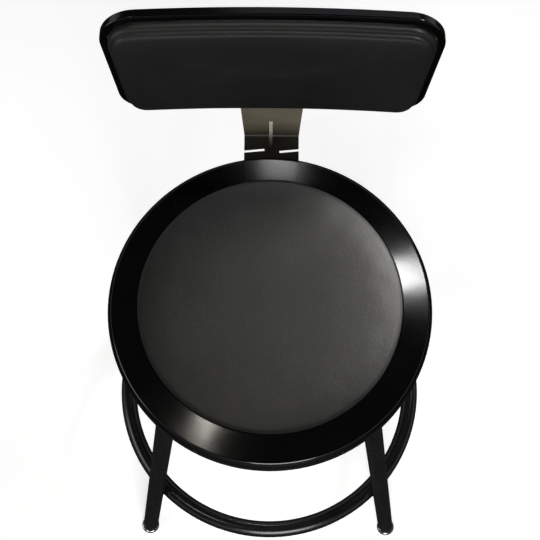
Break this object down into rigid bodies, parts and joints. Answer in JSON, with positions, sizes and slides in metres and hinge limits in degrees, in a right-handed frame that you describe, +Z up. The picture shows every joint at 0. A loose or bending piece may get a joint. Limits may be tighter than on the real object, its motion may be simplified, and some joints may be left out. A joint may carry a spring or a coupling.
{
  "type": "adjustable swivel stool",
  "caption": "Black stool with a round vinyl seat in a glossy ring, padded backrest on a bent plate, splayed tube legs and an inner foot ring; height and swivel adjust.",
  "frame": {"origin": "on the floor, on the swivel axis", "axes": "+Z up along the swivel axis, +Y towards the backrest, +X to the sitter's left, seen facing the seat from the front as right"},
  "size_m": [0.488, 0.5151, 0.889],
  "materials": {
    "frame_paint": "semi-gloss black powder paint",
    "bracket_paint": "satin brown-grey paint",
    "gloss_black": "high-gloss black enamel",
    "seat_vinyl": "satin black vinyl with a fine grain",
    "back_vinyl": "satin black vinyl with a fine grain",
    "bright_steel": "bright chrome plate",
    "zinc_steel": "zinc plate",
    "black_plastic": "moulded black plastic",
    "nylon": "natural nylon",
    "brass_cage": "rolled brass strip",
    "plywood": "unfinished birch plywood"
  },
  "bodies": {
    "base": {"leg_front_right": "frame_paint", "leg_rear_right": "frame_paint", "leg_rear_left": "frame_paint", "leg_front_left": "frame_paint", "glide_insert_front_right": "black_plastic", "glide_insert_rear_right": "black_plastic", "glide_insert_rear_left": "black_plastic", "glide_insert_front_left": "black_plastic", "glide_cup_front_right": "bright_steel", "glide_cup_rear_right": "bright_steel", "glide_cup_rear_left": "bright_steel", "glide_cup_front_left": "bright_steel", "spider_arm_front_right": "frame_paint", "spider_arm_rear_right": "frame_paint", "spider_arm_rear_left": "frame_paint", "spider_arm_front_left": "frame_paint", "foot_ring": "frame_paint", "foot_ring_welds": "frame_paint", "spider_welds": "frame_paint", "hub_tube": "frame_paint", "hub_plate": "frame_paint", "hub_bush_upper": "nylon", "hub_bush_lower": "nylon", "clamp_boss": "frame_paint"},
    "height_clamp": {"height_clamp_screw": "zinc_steel", "height_clamp_knob": "black_plastic"},
    "post": {"seat_post": "bright_steel", "post_collar": "zinc_steel", "post_stop_ring": "zinc_steel", "post_end_cap": "black_plastic", "post_flange": "frame_paint", "post_flange_weld": "frame_paint", "swivel_lower_plate": "zinc_steel", "swivel_bolts": "zinc_steel", "swivel_nuts": "zinc_steel", "swivel_pin": "zinc_steel"},
    "ball_race": {"ball_cage": "brass_cage", "swivel_balls": "bright_steel"},
    "seat": {"swivel_upper_plate": "zinc_steel", "swivel_screws": "zinc_steel", "seat_board": "plywood", "seat_screws": "zinc_steel", "seat_ring": "gloss_black", "cushion_board": "plywood", "seat_cushion": "seat_vinyl", "plate_guide": "frame_paint", "guide_screws": "zinc_steel", "lock_nut": "zinc_steel"},
    "plate_lock": {"plate_lock_screw": "zinc_steel", "plate_lock_knob": "black_plastic"},
    "backrest": {"back_bracket": "bracket_paint", "back_gusset": "bracket_paint", "backrest_shell": "gloss_black", "backrest_board": "plywood", "backrest_tnuts": "zinc_steel", "backrest_cushion": "back_vinyl", "backrest_screws": "zinc_steel"}
  },
  "joints": [
    {"name": "seat_height", "type": "slide", "parent": "base", "child": "post", "axis": [0, 0, 1], "range_m": [0, 0.112]},
    {"name": "height_clamp_turn", "type": "hinge", "parent": "base", "child": "height_clamp", "pos_m": [0.034, 0, 0.535], "axis": [1, 0, 0], "range_deg": [0, 720]},
    {"name": "seat_swivel", "type": "hinge", "parent": "post", "child": "seat", "pos_m": [0, 0, 0.622], "axis": [0, 0, 1], "continuous": true},
    {"name": "ball_race_turn", "type": "hinge", "parent": "post", "child": "ball_race", "pos_m": [0, 0, 0.622], "axis": [0, 0, 1], "continuous": true},
    {"name": "backrest_depth", "type": "slide", "parent": "seat", "child": "backrest", "axis": [0, 1, 0], "range_m": [0, 0.04]},
    {"name": "plate_lock_turn", "type": "hinge", "parent": "seat", "child": "plate_lock", "pos_m": [0, 0.13, 0.61], "axis": [0, 0, -1], "range_deg": [0, 720]}
  ],
  "couplings": [
    {"joint": "ball_race_turn", "follows": "seat_swivel", "ratio": 0.5}
  ]
}
